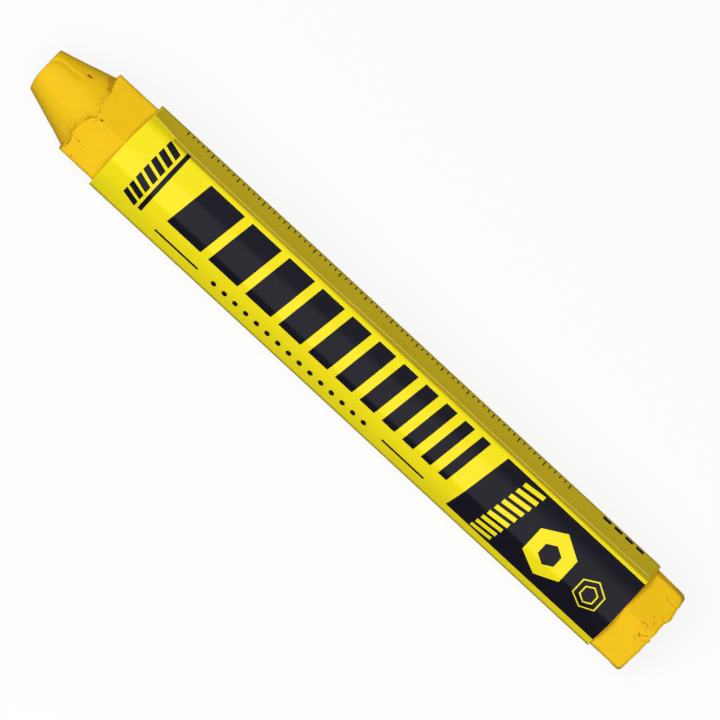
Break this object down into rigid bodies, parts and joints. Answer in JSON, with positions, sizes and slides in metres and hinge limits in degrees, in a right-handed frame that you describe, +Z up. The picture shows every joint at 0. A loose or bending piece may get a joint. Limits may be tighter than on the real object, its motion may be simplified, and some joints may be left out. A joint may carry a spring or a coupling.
{
  "type": "solid paint stick",
  "caption": "Hexagonal stick of solid marking paint with a round tapered nose, held in a loose wrapped paper sleeve that it slides through.",
  "frame": {"origin": "on the surface the stick lies on, under the middle of its length and width", "axes": "+X along the stick from nose to butt, +Z up, +Y across"},
  "size_m": [0.12, 0.0174, 0.0169],
  "materials": {
    "solid_paint": "satin",
    "coated_label_paper": "satin",
    "liner_paper": "matte",
    "paper_glue": "satin"
  },
  "bodies": {
    "sleeve": {"printed_label": "coated_label_paper", "inner_sleeve": "liner_paper", "lap_glue": "paper_glue", "start_glue": "paper_glue"},
    "stick": {"paint_stick": "solid_paint"}
  },
  "joints": [
    {"name": "stick_slide", "type": "slide", "parent": "sleeve", "child": "stick", "axis": [-1, 0, 0], "range_m": [-0.0165, 0.078]}
  ]
}
